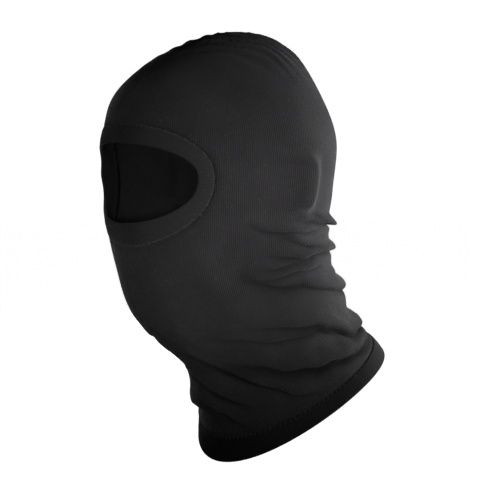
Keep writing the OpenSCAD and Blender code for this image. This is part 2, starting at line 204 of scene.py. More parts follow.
# ---------------------------------------------------------------- folds
# Each fold is a crease: its points as (degrees round the head from the face, mm along the knit
# from the hem, depth in mm), and the width in mm of the roll above it. The roll hangs over the
# crease, and a shallow dip lies under it.
FOLDS = [
    ([(94, 154, 0.3), (103, 153, 1.6), (115, 149, 3.2), (128, 145, 5.0), (140, 143, 6.5),
      (156, 142, 5.0), (174, 142, 2.0)], 6),
    ([(104, 161, 0.3), (111, 157, 1.8), (120, 152, 2.2), (130, 148, 0.8)], 5),
    ([(68, 156, 0.3), (75, 151, 1.8), (86, 146, 2.4), (101, 144, 1.8), (114, 145, 0.3)], 5),
    ([(76, 133, 0.3), (84, 129, 1.8), (93, 126, 3.0), (106, 125, 3.6), (116, 123, 4.0),
      (125, 120, 3.6), (140, 117, 4.2), (157, 117, 4.0), (176, 119, 2.0)], 7),
    ([(83, 144, 0.3), (92, 138, 2.0), (100, 134, 2.3), (112, 131, 1.6), (122, 130, 0.3)],
     5),
    ([(71, 126, 0.3), (78, 124, 1.8), (88, 122, 1.9), (97, 120, 1.4), (106, 119, 0.3)], 4),
    ([(70, 120, 0.3), (78, 119, 1.6), (90, 116, 2.0), (100, 114, 1.4), (110, 113, 0.3)], 4),
    ([(62, 122, 0.3), (70, 116, 2.0), (77, 112, 2.4), (89, 106, 2.2), (105, 94, 2.6),
      (118, 87, 3.0), (128, 82, 3.6), (142, 75, 4.4), (158, 75, 4.2), (176, 77, 3.0)],
     9),
    ([(112, 102, 0.3), (124, 96, 1.2), (138, 93, 1.0), (152, 94, 0.4)], 5),
    ([(66, 87, 0.3), (75, 81, 1.6), (86, 74, 2.6), (98, 66, 3.6), (108, 56, 4.2),
      (116, 49, 4.0), (124, 44, 5.0), (138, 39, 6.4), (155, 38, 5.0), (174, 41, 3.0)],
     10),
    ([(56, 92, 0.3), (64, 88, 1.3), (72, 83, 1.6), (82, 77, 1.2), (92, 72, 0.3)], 5),
    ([(28, 92, 0.3), (44, 86, 1.2), (56, 80, 1.8), (66, 77, 1.8), (77, 73, 1.6),
      (89, 68, 1.6), (104, 57, 1.4), (117, 47, 0.4)], 5),
    ([(22, 74, 0.4), (34, 68, 1.8), (46, 64, 3.2), (62, 55, 4.6), (79, 44, 6.2),
      (100, 38, 7.0), (116, 32, 5.5), (126, 28, 3.5), (142, 26, 2.0), (160, 26, 0.5)],
     12),
    ([(8, 86, 0.3), (14, 78, 1.4), (20, 72, 2.2), (32, 61, 2.8), (53, 44, 2.6),
      (66, 32, 1.8), (76, 24, 0.4)], 6),
    ([(-12, 62, 0.4), (2, 59, 2.4), (14, 52, 2.8), (25, 44, 1.6), (34, 36, 0.3)], 6),
    ([(-10, 44, 0.4), (0, 42, 2.0), (11, 39, 2.4), (20, 30, 1.8), (26, 24, 0.4)], 6),
    ([(-92, 34, 1.0), (-72, 32, 3.0), (-52, 32, 4.5), (-38, 32, 5.5), (-24, 34, 4.5),
      (-10, 36, 3.0), (2, 38, 0.5)], 14),
    # the wearer's right and the back
    ([(-84, 146, 0.3), (-98, 138, 3.0), (-122, 130, 5.0), (-150, 128, 5.0),
      (-178, 130, 1.5)], 8),
    ([(-70, 129, 0.3), (-88, 119, 3.0), (-110, 107, 4.5), (-138, 99, 6.5),
      (-166, 97, 5.5), (-190, 99, 0.5)], 10),
    ([(-72, 116, 0.3), (-82, 109, 1.8), (-94, 102, 2.0), (-106, 99, 0.3)], 5),
    ([(-64, 106, 0.3), (-82, 91, 2.6), (-102, 80, 3.6), (-128, 71, 4.5),
      (-156, 65, 3.0), (-176, 62, 0.4)], 9),
    ([(-20, 80, 0.4), (-45, 68, 2.8), (-68, 55, 4.8), (-92, 44, 6.5), (-118, 38, 6.5),
      (-142, 34, 4.0), (-164, 32, 1.0)], 12),
    ([(-6, 97, 0.3), (-26, 88, 1.6), (-46, 76, 1.8), (-60, 68, 0.4)], 6),
    ([(-30, 62, 0.3), (-44, 55, 2.2), (-60, 44, 2.4), (-74, 33, 0.4)], 6),
    ([(-98, 161, 0.3), (-112, 154, 2.2), (-130, 151, 3.0), (-150, 153, 0.5)], 6),
]
ANGLE_MM = 1.25   # mm round the neck for a degree
RUN_MM = 290.0    # mm along the knit for a whole run
FOLDS_END = 0.60  # run above which the head stretches every fold out
# Across a fold, places and widths are in widths of its roll, upwards from the crease. Heights
# are shares of its depth.
ROLL_AT, ROLL_BELOW, ROLL_ABOVE, ROLL_POWER = 0.58, 0.42, 0.66, 2.6
ROLL_SAG = 0.34
VALLEY_AT, VALLEY_W, VALLEY_DEPTH = -0.10, 0.26, 0.50
DIP_AT, DIP_W, DIP_HEIGHT = -0.85, 0.45, 0.10
# SHADE_W is the width of the painted shade in each crease's hollow, in widths of its roll.
SHADE_W = 0.34


def crease(s, a, points, width):
    """Height and sag in mm that one fold adds at (s, a), and how much painted shade its hollow gets."""
    pts = np.array(points, float)
    line = np.stack([pts[:, 0] * ANGLE_MM, pts[:, 1]], -1)
    middle = pts[:, 0].mean()
    x = (middle + (a - middle + 180) % 360 - 180) * ANGLE_MM
    x = x + 0.8 * np.sin(s * 70 + width) + 0.5 * np.sin(a * 0.13)
    y = s * RUN_MM + 0.9 * np.sin(x * 0.11 + width) + 0.5 * np.sin(x * 0.27)
    best = np.full(s.shape, 1e9)
    side, depth = np.zeros(s.shape), np.zeros(s.shape)
    onward = 1 if line[-1, 0] > line[0, 0] else -1
    for (start, end, d0, d1) in zip(line, line[1:], pts[:, 2], pts[1:, 2]):
        d = end - start
        size = np.hypot(*d)
        rx, ry = x - start[0], y - start[1]
        t = np.clip((rx * d[0] + ry * d[1]) / size ** 2, 0, 1)
        far = np.hypot(rx - t * d[0], ry - t * d[1])
        closer = far < best
        cross = onward * (d[0] * ry - d[1] * rx)
        side = np.where(closer, np.sign(cross), side)
        depth = np.where(closer, d0 + (d1 - d0) * t, depth)
        best = np.where(closer, far, best)
    q = best * side / width
    roll_w = np.where(q < ROLL_AT, ROLL_BELOW, ROLL_ABOVE)
    roll = np.exp(-np.abs((q - ROLL_AT) / roll_w) ** ROLL_POWER)
    valley = bell(q - VALLEY_AT, VALLEY_W)
    dip = bell(q - DIP_AT, DIP_W)
    painted_shade = depth * bell(q - VALLEY_AT, SHADE_W)
    height = depth * (roll - VALLEY_DEPTH * valley + DIP_HEIGHT * dip)
    return height, depth * ROLL_SAG * roll, painted_shade


def fold_moves(s, a, base, normal):
    """The folds' displacements in mm: out along the normal, and down towards the hem."""
    out, sag = np.zeros(s.shape), np.zeros(s.shape)
    for points, width in FOLDS:
        height, drop, _ = crease(s, a, points, width)
        out += height
        sag += drop
    ends = smooth((s - SEAM_RUN) / 0.022) * smooth((FOLDS_END - s) / 0.06)
    down = unit_length(hood_mm(np.maximum(s - 0.01, 0), a) - base)
    return (normal * out[..., None] + down * sag[..., None]) * ends[..., None]


# ---------------------------------------------------------------- ears, gathers and painted shade
EAR_RUN = 0.625         # run of the ears' middle
EAR_EDGE = 105          # degrees from the face to the ears' back edge
EAR_LOW, EAR_HIGH = -23, 24           # mm from the middle to the ears' foot and top
EAR_FRONT_MM, EAR_BACK_MM = 19, 13    # how far the swell runs out in front and behind
EAR_HEIGHT = 5.6
EAR_HOLLOW = 2.2        # depth of the hollow behind each ear
EAR_TOP_DIP = 1.3       # depth of the dip above it
CROWN_RUN_MM = 210      # length of a whole run near the crown
PLEAT_MM = 12           # pitch of the gathers at the crown seam
PLEAT_REACH_MM = 19     # how far below the crown seam the gathers fade
PLEAT_HEIGHT = 2.2
PAINTED_SHADE_DEPTH = 2.3      # mm of hollow that count as 63 per cent of the full painted shade


def ear_place(s, a):
    """Where (s, a) lies from an ear: mm behind its back edge, mm above its middle, and how
    much of the ear stands out at that height."""
    turned = np.abs((a + 180) % 360 - 180)
    v = (s - EAR_RUN) * RUN_MM
    edge = EAR_EDGE - 0.010 * v ** 2 + 0.04 * v
    tall = smooth((v - EAR_LOW) / 9) * smooth((EAR_HIGH - v) / 12)
    return (turned - edge) * ANGLE_MM, v, tall


def crown_pleats(s, a, p):
    """The gathers at the crown seam: how strong they are, and their rounded tops, 0 to 1."""
    top = (1 - s) * CROWN_RUN_MM
    slanted = p[..., 1] - 0.75 * np.abs(p[..., 0]) + 1.5 * np.sin(a * 0.2)
    tops = np.abs(np.sin(np.pi * slanted / PLEAT_MM + 0.8 * np.sin(slanted / 17)))
    gathered = 0.12 + smooth((p[..., 1] + 48) / 40) + 0.7 * bump(p[..., 1], 48, 34)
    return gathered * bell(top, PLEAT_REACH_MM) * smooth(top / 3), tops


def painted_shade_share(s, a):
    """How much painted shade darkens the knit's colour at (s, a), 0 to 1, where it is tucked away from
    the light.

    The folds, the two seams, the ears' back edges and the crown's gathers add to it."""
    depth = sum(crease(s, a, points, width)[2] for points, width in FOLDS)
    above = np.maximum(s - SEAM_RUN, 0) * RUN_MM
    ring = np.maximum(from_ring(s, a, SEAM), 0)
    depth = depth + 1.6 * bell(above, 2.2) + 0.6 * bell(ring, 1.5)
    u, v, tall = ear_place(s, a)
    behind_ear = 1.1 * bell(u + 0.5, 2.4) + 0.5 * bell(u + 8, 9)
    depth = depth + tall * behind_ear
    depth = depth + 0.7 * bell(u + 9, 8) * bell(v - 25, 6)
    gathered, pleats = crown_pleats(s, a, hood_mm(s, a))
    depth = depth + 2.0 * gathered * (1 - pleats) ** 3
    return 1 - np.exp(-depth / PAINTED_SHADE_DEPTH)


# ---------------------------------------------------------------- the slack neck, simulated
SIM_TOP = 0.62       # run of the cloth's upper edge
SIM_COLUMNS = 180
SIM_ROWS = 84
SIM_SCALE = 10.0     # the solver's settings suit cloth of metres
SIM_FRAMES = 14
SIM_GRAVITY = 0.15   # share of the weight; the head carries the rest
EVEN_PASSES = 8      # smoothing passes that take the solver's jitter out
CLOTH = {
    "quality": 5, "mass": 0.1, "air_damping": 4, "tension_stiffness": 20, "tension_damping": 8,
    "compression_stiffness": 20, "compression_damping": 8, "shear_stiffness": 5,
    "shear_damping": 5, "bending_stiffness": 10, "bending_damping": 4,
}


def new_mesh(name, points, faces, uvs=None):
    mesh = bpy.data.meshes.new(name)
    mesh.from_pydata(points.reshape(-1, 3).tolist(), [], np.asarray(faces).tolist())
    if uvs is not None:
        layer = mesh.uv_layers.new(name="knit")
        loops = np.empty(len(mesh.loops), int)
        mesh.loops.foreach_get("vertex_index", loops)
        layer.data.foreach_set("uv", uvs.reshape(-1, 2)[loops].ravel())
    mesh.polygons.foreach_set("use_smooth", [True] * len(mesh.polygons))
    mesh.update()
    return mesh


def set_painted_shade(mesh, values):
    """Store the painted shade of each point, 0 to 1, with which the materials darken the colour."""
    layer = mesh.attributes.new("painted_shade", "FLOAT", "POINT")
    layer.data.foreach_set("value", np.asarray(values, np.float32).ravel())


def new_object(name, mesh):
    obj = bpy.data.objects.new(name, mesh)
    bpy.context.scene.collection.objects.link(obj)
    return obj


def thicken(obj, thickness):
    """Give a single sheet real thickness, half on each side."""
    thick = obj.modifiers.new("thickness", "SOLIDIFY")
    thick.thickness = thickness * MM
    thick.offset = 0


def ring_faces(rows, columns):
    """Faces of a tube of rows by columns points, closed round the columns."""
    j, i = np.meshgrid(np.arange(rows - 1), np.arange(columns), indexing="ij")
    i2 = (i + 1) % columns
    return np.stack([j * columns + i, j * columns + i2, (j + 1) * columns + i2,
                     (j + 1) * columns + i], -1).reshape(-1, 4)


def simulate_neck():
    """How far, in mm, the neck's folds settle, on a grid of runs by angles."""
    runs = np.linspace(SEAM_RUN, SIM_TOP, SIM_ROWS)
    angles = np.arange(SIM_COLUMNS) * 360 / SIM_COLUMNS
    s, a = np.meshgrid(runs, angles, indexing="ij")
    base, normal = hood_mm(s, a), hood_normal(s, a)
    start = base + fold_moves(s, a, base, normal)
    free = smooth((s - SEAM_RUN) / 0.025) * smooth((SIM_TOP - 0.05 - s) / 0.06)
    chin = bump((a + 180) % 360 - 180, 0, 70) * smooth((s - 0.44) / 0.05)
    pinned = np.maximum(1 - free, chin).ravel()

    scene = bpy.context.scene
    faces = ring_faces(SIM_ROWS, SIM_COLUMNS)
    unit = MM * SIM_SCALE
    cloth = new_object("neck_cloth", new_mesh("neck_cloth", start * unit, faces))
    group = cloth.vertex_groups.new(name="pin")
    for i, w in enumerate(pinned):
        if w > 0.001:
            group.add([i], float(w), "REPLACE")
    cloth_mod = cloth.modifiers.new("Cloth", "CLOTH")
    for key, value in CLOTH.items():
        setattr(cloth_mod.settings, key, value)
    cloth_mod.settings.vertex_group_mass = "pin"
    cloth_mod.settings.effector_weights.gravity = SIM_GRAVITY
    cloth_mod.collision_settings.use_collision = False
    cloth_mod.point_cache.frame_start = 1
    cloth_mod.point_cache.frame_end = SIM_FRAMES
    for f in range(1, SIM_FRAMES + 1):
        scene.frame_set(f)
    shown = cloth.evaluated_get(bpy.context.evaluated_depsgraph_get())
    points = np.empty(len(shown.data.vertices) * 3, np.float32)
    shown.data.vertices.foreach_get("co", points)
    points = points.reshape(SIM_ROWS, SIM_COLUMNS, 3).astype(float) / unit
    mesh = cloth.data
    bpy.data.objects.remove(cloth)
    bpy.data.meshes.remove(mesh)
    scene.frame_set(1)
    settled = points - start
    for _ in range(EVEN_PASSES):
        settled = (np.roll(settled, 1, 1) + 2 * settled + np.roll(settled, -1, 1)) / 4
        settled[1:-1] = (settled[:-2] + 2 * settled[1:-1] + settled[2:]) / 4
    far = np.linalg.norm(settled, axis=-1)
    print("neck cloth settled by", far.max().round(2), "mean", far.mean().round(2), "mm")
    return runs, settled


sim_runs, sim_moved = simulate_neck()


def cubic(t):
    """Catmull-Rom weights at a fraction t between the second and third of four points."""
    return np.stack([
        -0.5 * t + t ** 2 - 0.5 * t ** 3, 1 - 2.5 * t ** 2 + 1.5 * t ** 3,
        0.5 * t + 2 * t ** 2 - 1.5 * t ** 3, -0.5 * t ** 2 + 0.5 * t ** 3,
    ])


def settled_by(s, a):
    """Displacement in mm that the simulated neck gives a point at (s, a)."""
    x = np.clip((s - sim_runs[0]) / (sim_runs[-1] - sim_runs[0]), 0, 1) * (SIM_ROWS - 1)
    y = (a % 360) / 360 * SIM_COLUMNS
    i, j = np.minimum(x.astype(int), SIM_ROWS - 2), y.astype(int)
    wx, wy = cubic(x - i), cubic(y - j)
    out = np.zeros(s.shape + (3,))
    for m in range(4):
        row = np.clip(i + m - 1, 0, SIM_ROWS - 1)
        for n in range(4):
            out += (wx[m] * wy[n])[..., None] * sim_moved[row, (j + n - 1) % SIM_COLUMNS]
    return out


# ---------------------------------------------------------------- fixed details of the hood
NECK_RUN_MM = 250       # length of a whole run near the hem
FACE_PUCKER_MM = 3.4    # distance between the puckers along the seams
HEM_PUCKER_MM = 3.9


def from_ring(s, a, size):
    """Rough distance in mm outside a super-ellipse round the face opening."""
    x = ((a + 180) % 360 - 180) / size[0]
    y = (s - OPENING_AT) / np.where(s > OPENING_AT, size[1], size[2])
    r = (np.abs(x) ** OPENING_POWER + np.abs(y) ** OPENING_POWER) ** (1 / OPENING_POWER)
    return (r - 1) * SEAM_MEAN_MM


def waves(x, pitch, seed):
    """An uneven wave of about the given pitch, from -1 to 1."""
    return (
        0.55 * np.sin(2 * np.pi * x / pitch + seed)
        + 0.3 * np.sin(2 * np.pi * x / (pitch * 1.7) + 2.1 * seed + 1)
        + 0.15 * np.sin(2 * np.pi * x / (pitch * 0.61) + 3.7 * seed + 2)
    )


def ear_height(s, a):
    """The bump that each ear makes under the knit: low in front, with an abrupt back edge."""
    turned = np.abs((a + 180) % 360 - 180)
    u, v, tall = ear_place(s, a)
    in_front = bell(u, EAR_FRONT_MM)
    behind = np.clip(1 - u / EAR_BACK_MM, 0, 1) ** 1.3
    swell = np.where(u < 0, in_front, behind)
    hollow = smooth(u / 12) * bell(u - 13, 11)
    hollow = hollow * smooth((v + 30) / 12) * smooth((26 - v) / 16)
    above = bell((turned - 96) * ANGLE_MM, 13) * bell((s - 0.712) * RUN_MM, 6.5)
    return EAR_HEIGHT * tall * swell - EAR_HOLLOW * hollow - EAR_TOP_DIP * above


def detail_height(s, a):
    """Height in mm of the seams' puckers, the ears and the pressed creases."""
    turned = (a + 180) % 360 - 180
    p = hood_mm(s, a)
    top = (1 - s) * CROWN_RUN_MM
    gathered, pleats = crown_pleats(s, a, p)
    crown = PLEAT_HEIGHT * gathered * (pleats - 0.6)
    crown += 1.7 * bell(top, 22) - 1.5 * bell(top, 2.0)
    ring = np.maximum(from_ring(s, a, SEAM), 0)
    along_seam = np.arctan2((s - OPENING_AT) * FACE_RUN_MM, turned * 1.3) * 45
    face = -0.6 * bell(ring, 1.2) + 0.25 * bell(ring - 3.2, 2.4)
    face += 0.32 * np.exp(-ring / 5) * waves(along_seam, FACE_PUCKER_MM, 1.3)
    above = np.maximum(s - SEAM_RUN, 0) * NECK_RUN_MM
    hem = -1.0 * bell(above, 1.3) + 0.6 * bell(above - 2.8, 1.8)
    hem += 0.25 * np.exp(-above / 6) * waves(turned * 1.2, HEM_PUCKER_MM, 0.9)
    x = np.abs(p[..., 0])
    pressed = 0.5 * bell(x, 1.6) * (
        smooth((s - 0.78) / 0.04) * smooth((0.97 - s) / 0.04)
        + 0.8 * smooth((s - 0.33) / 0.04) * smooth((0.50 - s) / 0.04)
    )
    lumps = 0.35 * np.sin(turned * 0.11 + 9 * s + 1.3) * np.sin(s * 31 + turned * 0.05)
    edges = smooth(ring / 8) * smooth(above / 8) * smooth(top / 8)
    return crown + face + hem + pressed + (ear_height(s, a) + lumps) * edges


# ---------------------------------------------------------------- hood mesh
# The opening is a block of faces left out of a grid of rows and columns.
COLUMNS = 252
BLOCK_COLUMNS = 36      # on each side of the middle
BLOCK_HALF_RUN = 0.117
BLOCK_HALF_ANGLE = 360 * BLOCK_COLUMNS / COLUMNS
NECK_ROWS, BLOCK_ROWS, CROWN_ROWS = 116, 36, 36
HOOD_T = 1.1            # thickness of the knit
CLOSE_FROM = 0.965      # run where the two sides begin to close to the crown seam
CROWN_GAP = 0.9         # mm from the middle to each side at the seam
TURNED_IN = (1.0, 2.2, 3.6, 5.0)    # depths of the crown's seam allowance


def place(s, a):
    """Plain (run, angle) grid places, bent to the face seam's outline near the opening."""
    x, y = a / BLOCK_HALF_ANGLE, (s - OPENING_AT) / BLOCK_HALF_RUN
    r = np.maximum(np.maximum(np.abs(x), np.abs(y)), 1e-9)
    ring_a, ring_s = outline(x / r, y / r, SEAM)
    w = smooth(r - 1)
    near = (r > 0.999) & (r < 2)
    return (
        np.where(near, (OPENING_AT + ring_s * r) * (1 - w) + s * w, s),
        np.where(near, ring_a * r * (1 - w) + a * w, a),
    )


def hood_surface(s, a):
    """Points in mm of the finished hood at (s, a), in the middle of the knit."""
    n = hood_normal(s, a)
    height = detail_height(s, a) - HOOD_T / 2
    base = hood_mm(s, a)
    p = base + n * height[..., None] + fold_moves(s, a, base, n) + settled_by(s, a)
    close = smooth((s - CLOSE_FROM) / (1 - CLOSE_FROM))
    p[..., 0] *= 1 - close * (1 - CROWN_GAP / SECTIONS[-1, 6])
    return p


def hood_rows():
    """Runs of the grid's rows, with whole rows at the opening block's two edges."""
    low, high = OPENING_AT - BLOCK_HALF_RUN, OPENING_AT + BLOCK_HALF_RUN
    return np.concatenate([
        np.linspace(SEAM_RUN, low, NECK_ROWS + 1)[:-1],
        np.linspace(low, high, BLOCK_ROWS + 1)[:-1],
        np.linspace(high, 1, CROWN_ROWS + 1),
    ])


def build_hood():
    rows = hood_rows()
    angles = (np.arange(COLUMNS) - COLUMNS // 2) * 360 / COLUMNS
    s, a = place(*np.meshgrid(rows, angles, indexing="ij"))
    points = hood_surface(s, a)
    u = look_up(AROUND, s, a) * WALES
    v = look_up(ALONG, s, a) / COURSE_MM
    uv = np.stack([u, v], -1)
    # the crown's seam allowance hangs inside
    extra = len(TURNED_IN)
    turned = np.repeat(points[-1:], extra, 0)
    turned[..., 2] -= np.array(TURNED_IN)[:, None]
    points = np.concatenate([points, turned])
    turned_uv = np.repeat(uv[-1:], extra, 0)
    turned_uv[..., 1] += np.arange(1, extra + 1)[:, None]
    uv = np.concatenate([uv, turned_uv])
    n = len(rows) + extra
    faces = ring_faces(n, COLUMNS).reshape(n - 1, COLUMNS, 4)
    keep = np.ones((n - 1, COLUMNS), bool)
    first = COLUMNS // 2 - BLOCK_COLUMNS
    keep[NECK_ROWS:NECK_ROWS + BLOCK_ROWS, first:first + 2 * BLOCK_COLUMNS] = False
    faces = faces[keep]
    used, faces = np.unique(faces, return_inverse=True)
    flat, uv = points.reshape(-1, 3)[used], uv.reshape(-1, 2)[used]
    hood = new_object("hood", new_mesh("hood", flat * MM, faces.reshape(-1, 4), uv))
    # painted shade from the folds, seams, ears and gathers, and full painted shade on the crown's
    # allowance inside
    painted_shade = np.concatenate([painted_shade_share(s, a), np.ones((extra, COLUMNS))])
    set_painted_shade(hood.data, painted_shade.ravel()[used])
    # the last column wraps round the back, so its UVs are set for each corner
    layer = hood.data.uv_layers["knit"]
    values = np.empty(len(hood.data.loops) * 2)
    layer.data.foreach_get("uv", values)
    values = values.reshape(-1, 4, 2)
    wide = values[..., 0].max(1) - values[..., 0].min(1) > WALES / 2
    wrapped = values[wide]
    wrapped[..., 0] = np.where(wrapped[..., 0] < 0, wrapped[..., 0] + WALES, wrapped[..., 0])
    values[wide] = wrapped
    layer.data.foreach_set("uv", values.ravel())
    thicken(hood, HOOD_T)
    return hood


# ---------------------------------------------------------------- bands
RIB_MM = 1.4            # pitch of the bands' ribs
RIB_POINTS = 4          # mesh columns for each rib
RIB_HEIGHT = 0.13
BAND_COURSE_MM = 0.9
BAND_CLOTH = 0.95       # thickness of one layer of a band
LOOP_STEPS = 721        # points that measure a band's length


def round_path(points, radius, steps):
    """A polyline with its corners rounded by arcs of about the given radius."""
    points = [np.array(p, float) for p in points]
    out = [points[0]]
    for before, at, after in zip(points, points[1:], points[2:]):
        d1, d2 = before - at, after - at
        r = min(radius, 0.45 * np.linalg.norm(d1), 0.45 * np.linalg.norm(d2))
        p, q = at + d1 / np.linalg.norm(d1) * r, at + d2 / np.linalg.norm(d2) * r
        for k in range(steps + 1):
            t = k / steps
            out.append((1 - t) ** 2 * p + 2 * t * (1 - t) * at + t * t * q)
    out.append(points[-1])
    return np.array(out)


def strip_outline(path, thickness):
    """The closed outline of a strip of cloth that follows a path."""
    d = np.gradient(path, axis=0)
    n = unit_length(np.stack([-d[:, 1], d[:, 0]], -1))
    return np.concatenate([path + n * thickness / 2, (path - n * thickness / 2)[::-1]])


def band_outline(width, crown):
    """Outline of a strip folded double: (distance from the fold, height) in mm."""
    top, low, under = 0.35, -0.75, -1.95
    path = round_path([
        (width + ALLOWANCE_W, under), (width - 0.3, under), (width - 0.55, top - 0.35),
        (width - 1.6, top), (width * 0.5, top + crown), (1.2, top + 0.1), (0.1, (top + low) / 2),
        (1.2, low - 0.05), (width * 0.5, low - 0.1), (width - 2.4, low - 0.1),
        (width - 1.5, under - 1.0), (width + ALLOWANCE_W, under - 1.0),
    ], 0.9, 3)
    return strip_outline(path, BAND_CLOTH)


def lengths_along(path):
    """Length from the start of a path to each of its points."""
    return np.concatenate([[0], np.cumsum(np.linalg.norm(np.diff(path, axis=0), axis=1))])


def build_band(name, ring, width, crown, least_painted_shade=0.0):
    """A ribbed band: ring(share, t, d) gives points in mm for shares 0 to 1 round the loop.

    crown is how much its middle swells, and the last argument is the least painted shade that it gets
    anywhere, which paints the whole band darker."""
    shares = np.linspace(0, 1, LOOP_STEPS)
    lengths = lengths_along(ring(shares, np.full(LOOP_STEPS, width / 2), np.zeros(LOOP_STEPS)))
    ribs = round(lengths[-1] / RIB_MM)
    columns = ribs * RIB_POINTS
    share = np.interp(np.arange(columns) / columns * lengths[-1], lengths, shares)
    outline_points = band_outline(width, crown)
    m = len(outline_points)
    t, d = outline_points[:, 0], outline_points[:, 1]
    middle = -0.2
    out = np.where(d > middle, 1.0, -1.0) * smooth((width - 0.6 - t) / 1.5)
    rib_at = np.arange(columns) / RIB_POINTS
    rib = np.cos(2 * np.pi * rib_at)
    seam_wave = 0.12 * np.sin(2 * np.pi * rib_at / 2.4)
    by_seam = np.where((t > width * 0.7) & (d > middle), 1, 0)
    height = d[:, None] + RIB_HEIGHT * out[:, None] * rib + by_seam[:, None] * seam_wave
    s2, t2 = np.broadcast_arrays(share[None], t[:, None])
    points = ring(s2.ravel(), t2.ravel(), height.ravel()).reshape(m, columns, 3)
    u, v = np.meshgrid(rib_at, lengths_along(outline_points) / BAND_COURSE_MM)
    j, i = np.meshgrid(np.arange(m), np.arange(columns), indexing="ij")
    j2, i2 = (j + 1) % m, (i + 1) % columns
    faces = np.stack([j * columns + i, j2 * columns + i, j2 * columns + i2, j * columns + i2],
                     -1).reshape(-1, 4)
    band = new_object(name, new_mesh(name, points * MM, faces, np.stack([u, v], -1)))
    # painted shade on the band's inner layer, which lies inside the hood; it fades out over the seam
    # allowance
    painted_shade = 0.55 * smooth((-0.4 - d) / 0.8) * smooth((width + 1 - t) / 1.5)
    set_painted_shade(band.data, np.repeat(np.maximum(painted_shade, least_painted_shade)[:, None], columns, 1))
    return band


CORNER_W = 0.11             # half width of a corner, as a share of the loop
RIGHT_CORNER_PROUD = 4.5    # mm that the wearer's right corner stands off the face
LEFT_CORNER_PROUD = 0.8


def face_ring(share, t, d):
    """Points of the face band: share round the opening, t from its folded edge, height d."""
    angle = 2 * np.pi * share
    x, y = np.cos(angle), np.sin(angle)
    m = np.maximum(np.abs(x), np.abs(y))
    in_a, in_s = outline(x / m, y / m, OPENING)
    out_a, out_s = outline(x / m, y / m, SEAM)
    k = t / FACE_BAND_W
    # the folded edge stands proud at the opening's two corners
    right_corner = bell(share - 0.5, CORNER_W)
    left_corner = bell(np.abs(share - 0.5) - 0.5, CORNER_W)
    proud = RIGHT_CORNER_PROUD * right_corner + LEFT_CORNER_PROUD * left_corner
    d = d + proud * np.clip(1 - k, 0, 1)
    s, a = OPENING_AT + in_s + (out_s - in_s) * k, in_a + (out_a - in_a) * k
    return hood_mm(s, a) + hood_normal(s, a) * d[..., None]


def neck_ring(share, t, d):
    """Points of the neck band: share round the hem from the back, t from the hem, height d."""
    s = SEAM_RUN * t / NECK_BAND_W
    a = 360 * share + 180
    return hood_mm(s, a) + hood_normal(s, a) * d[..., None]


# ---------------------------------------------------------------- threads
THREAD_R = 0.22         # loopers, joins and the crown's needle thread
FACE_NEEDLE_R = 0.2
HEM_NEEDLE_R = 0.23
LABEL_THREAD_R = 0.2
THREAD_SIDES = 6
OFF_AXIS = (0.31, 0.23, 0.92)    # a direction that no stitch has
LOOPER_PAINTED_SHADE = 0.25    # painted shade on the loopers, which lie inside, where little light comes
SEAM_BELOW_RIDGE = 1.2


def tubes(name, paths, radius):
    """One mesh of round threads, each along its own path of points in mm."""
    sides = THREAD_SIDES
    all_points, all_faces, start = [], [], 0
    for path in paths:
        path = np.asarray(path, float)
        tangent = unit_length(np.gradient(path, axis=0))
        side = unit_length(np.cross(tangent, OFF_AXIS))
        other = np.cross(tangent, side)
        around_it = 2 * np.pi * np.arange(sides) / sides
        rings = path[:, None] + radius * (
            np.cos(around_it)[None, :, None] * side[:, None]
            + np.sin(around_it)[None, :, None] * other[:, None])
        n = len(path)
        all_points.append(rings.reshape(-1, 3))
        all_faces += (ring_faces(n, sides) + start).tolist()
        all_faces.append([start + k for k in reversed(range(sides))])
        all_faces.append([start + (n - 1) * sides + k for k in range(sides)])
        start += n * sides
    mesh = bpy.data.meshes.new(name)
    mesh.from_pydata((np.concatenate(all_points) * MM).tolist(), [], all_faces)
    mesh.polygons.foreach_set("use_smooth", [len(p.vertices) == 4 for p in mesh.polygons])
    mesh.update()
    return new_object(name, mesh)


def over_seam(ring, count, width, reach):
    """Needle stitches that bridge a band's seam, longer the greater their reach."""
    paths = []
    for k in range(count):
        share = k / count
        t = width - 0.2 + reach * np.array([-1.5, -1.1, -0.3, 0.5, 1.1, 1.4])
        d = np.array([0.35, 0.8, 0.55, 0.3, 0.25, -0.5])
        slant = share + np.linspace(-0.12, 0.12, 6) / count
        paths.append(ring(slant, t, d))
    return paths


def under_seam(ring, count, width):
    """The looper thread's zigzag round the seam allowance, on the inside."""
    edge = width + ALLOWANCE_W
    t = np.array([edge + 0.3, edge - 1.5, width + 0.5, width + 2.5])
    d = np.array([-2.7, -3.75, -3.75, -3.75])
    shares = np.arange(4 * count + 1) / (4 * count)
    return [ring(shares, np.append(np.tile(t, count), t[0]), np.append(np.tile(d, count), d[0]))]


def crown_line(y, side, drop):
    """Places by the crown's hanging allowance: y, side and drop below its seam in mm."""
    ridge = hood_mm(1, np.linspace(0, 180, 181))
    z = np.interp(y, ridge[:, 1], ridge[:, 2]) - SEAM_BELOW_RIDGE
    return np.stack([side * np.ones_like(y), y, z - drop], -1)


# ---------------------------------------------------------------- materials
def node_material(name):
    """A material with only an output and a Principled shader."""
    mat = bpy.data.materials.new(name)
    mat.use_nodes = True
    nodes, links = mat.node_tree.nodes, mat.node_tree.links
    nodes.clear()
    out = nodes.new("ShaderNodeOutputMaterial")
    bsdf = nodes.new("ShaderNodeBsdfPrincipled")
    links.new(bsdf.outputs[0], out.inputs[0])
    return mat, nodes, links, bsdf


def math_node(nodes, links, kind, a, b=None, c=None):
    """Output of a Math node whose inputs are numbers or other nodes' outputs."""
    node = nodes.new("ShaderNodeMath")
    node.operation = kind
    for k, value in enumerate((a, b, c)):
        if value is None:
            continue
        if isinstance(value, (int, float)):
            node.inputs[k].default_value = value
        else:
            links.new(value, node.inputs[k])
    return node.outputs[0]


def noise_node(nodes, links, coords, scale, detail):
    noise = nodes.new("ShaderNodeTexNoise")
    noise.inputs["Scale"].default_value = scale
    noise.inputs["Detail"].default_value = detail
    links.new(coords, noise.inputs["Vector"])
    return noise.outputs[0]


